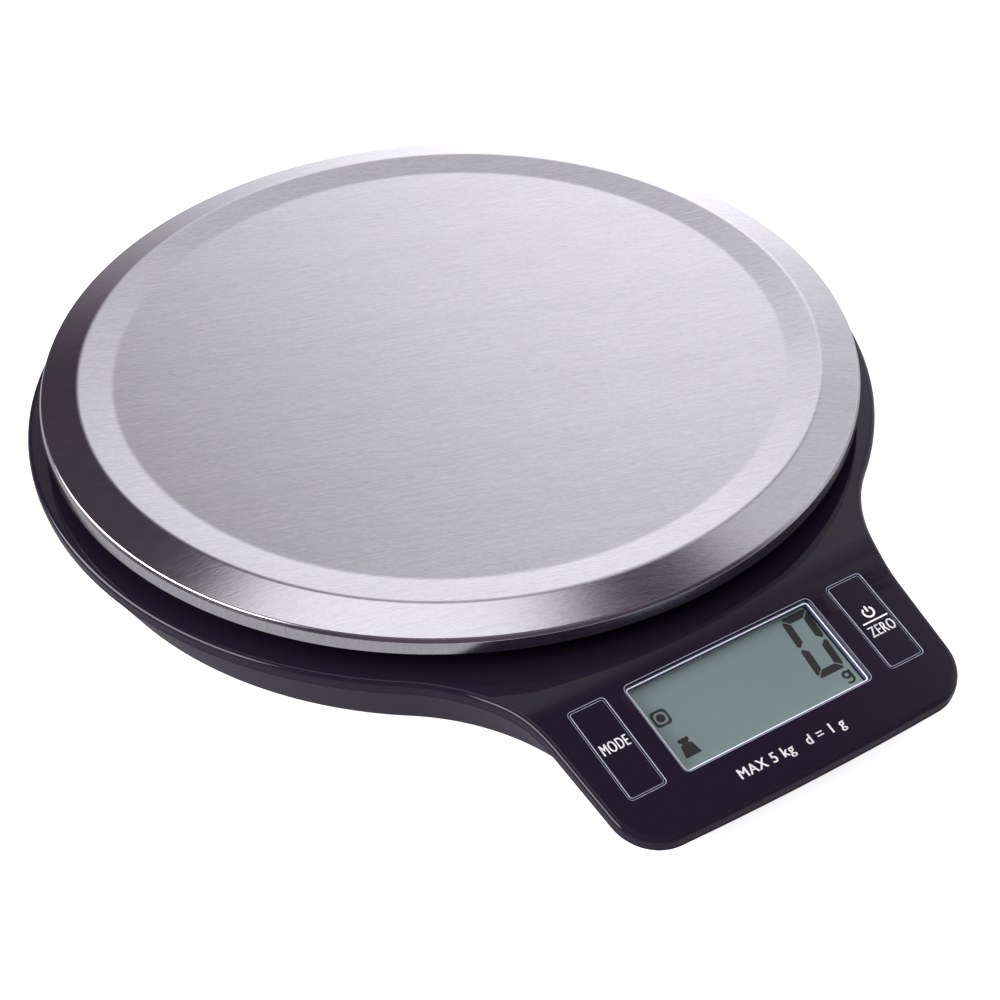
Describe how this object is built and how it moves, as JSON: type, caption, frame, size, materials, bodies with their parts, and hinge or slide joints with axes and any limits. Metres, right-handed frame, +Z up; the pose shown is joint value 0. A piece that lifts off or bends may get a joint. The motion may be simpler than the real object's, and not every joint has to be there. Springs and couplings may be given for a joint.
{
  "type": "digital kitchen scale",
  "caption": "Digital kitchen scale with a round brushed steel platform, sloping display panel, two push buttons and a hinged battery door.",
  "frame": {"origin": "middle of the footprint's bounding box, on the table under the four feet", "axes": "+Z up, +X towards the user's right, -Y towards the user at the panel's front edge"},
  "size_m": [0.1904, 0.2278, 0.032],
  "materials": {
    "gloss_black": "polished",
    "satin_black": "fine satin texture",
    "button_black": "polished",
    "brushed_platform": "straight brushed grain",
    "tray_plastic": "moulded matte",
    "pad_foam": "closed-cell foam",
    "cell_aluminium": "milled",
    "gauge_sealant": "soft sealant",
    "zinc_screws": "zinc plated",
    "clear_window": "clear polished",
    "display_glass": "grey-green liquid crystal",
    "frame_plastic": "moulded matte",
    "strip_rubber": "layered rubber",
    "board_laminate": "solder mask",
    "resin_black": "cured resin",
    "board_chips": "ceramic",
    "switch_black": "moulded",
    "switch_plunger": "moulded",
    "cell_steel": "bright nickel",
    "contact_steel": "nickel-plated spring strip",
    "wire_red": "insulation",
    "wire_black": "insulation",
    "wire_green": "insulation",
    "wire_white": "insulation",
    "foot_rubber": "matte"
  },
  "bodies": {
    "base": {"upper_housing": "gloss_black", "lower_housing": "satin_black", "load_cell": "cell_aluminium", "strain_gauge_covers": "gauge_sealant", "load_cell_screws": "zinc_screws", "display_window": "clear_window", "display_glass": "display_glass", "display_frame": "frame_plastic", "connector_strip": "strip_rubber", "circuit_board": "board_laminate", "board_screws": "zinc_screws", "processor_blob": "resin_black", "board_parts": "board_chips", "mode_switch_base": "switch_black", "zero_switch_base": "switch_black", "coin_cell_left": "cell_steel", "coin_cell_right": "cell_steel", "battery_contact_negative": "contact_steel", "battery_contact_positive": "contact_steel", "battery_contact_bridge": "contact_steel", "battery_wire_black": "wire_black", "battery_wire_red": "wire_red", "load_cell_wire_red": "wire_red", "load_cell_wire_black": "wire_black", "load_cell_wire_green": "wire_green", "load_cell_wire_white": "wire_white", "foot_front_left": "foot_rubber", "foot_front_right": "foot_rubber", "foot_rear_left": "foot_rubber", "foot_rear_right": "foot_rubber", "housing_screws": "zinc_screws"},
    "platform": {"platform_pan": "brushed_platform", "platform_tray": "tray_plastic", "adhesive_pads": "pad_foam", "load_cell_spacer": "cell_aluminium", "platform_screws": "zinc_screws"},
    "mode_button": {"mode_button_cap": "button_black", "mode_switch_plunger": "switch_plunger"},
    "zero_button": {"zero_button_cap": "button_black", "zero_switch_plunger": "switch_plunger"},
    "door": {"battery_door": "satin_black", "battery_door_foam": "pad_foam"}
  },
  "joints": [
    {"name": "platform_press", "type": "slide", "parent": "base", "child": "platform", "axis": [0, 0, 1], "range_m": [-0.0005, 0], "stiffness_N_per_m": 120000, "deforming": ["load_cell"]},
    {"name": "mode_button_press", "type": "slide", "parent": "base", "child": "mode_button", "axis": [0, 0.2588, -0.9659], "range_m": [0, 0.0004], "stiffness_N_per_m": 3000, "springref_m": -0.0002},
    {"name": "zero_button_press", "type": "slide", "parent": "base", "child": "zero_button", "axis": [0, 0.2588, -0.9659], "range_m": [0, 0.0004], "stiffness_N_per_m": 3000, "springref_m": -0.0002},
    {"name": "battery_door_hinge", "type": "hinge", "parent": "base", "child": "door", "pos_m": [0, -0.0161, 0.0039], "axis": [1, 0, 0], "range_deg": [0, 80]}
  ]
}
